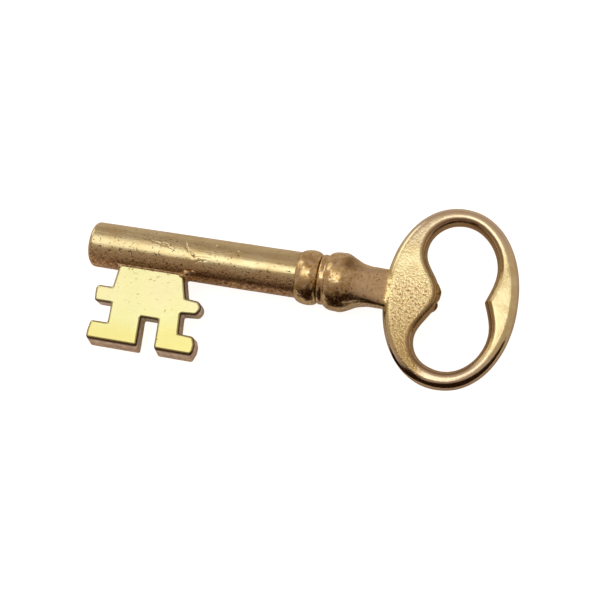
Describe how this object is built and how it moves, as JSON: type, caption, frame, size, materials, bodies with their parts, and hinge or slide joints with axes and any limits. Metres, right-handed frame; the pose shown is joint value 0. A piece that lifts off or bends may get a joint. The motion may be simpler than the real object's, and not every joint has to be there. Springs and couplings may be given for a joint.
{
  "type": "lever lock key",
  "caption": "Solid brass bit key: round shank, flat bit with ward cuts, turned collar and an open oval bow.",
  "frame": {"origin": "centre of the flat end face at the shank's tip", "axes": "+X along the shank towards the bow, the bit points to -Y, +Z square to the flat faces of the bit and bow"},
  "size_m": [0.0747, 0.0336, 0.0102],
  "materials": {
    "shank": "polished cast brass, fine brushing along the shank",
    "bit": "pale filed and polished brass",
    "braze": "rough braze metal, slightly tarnished",
    "collar": "turned brass with small pits, polished on the crests",
    "bow": "fine sand-cast brass, worn bright on the ring"
  },
  "bodies": {
    "root": {"shank": "shank", "bit": "bit", "bit_braze": "braze", "bead_ring": "collar", "collar": "collar", "bow": "bow"}
  },
  "joints": []
}
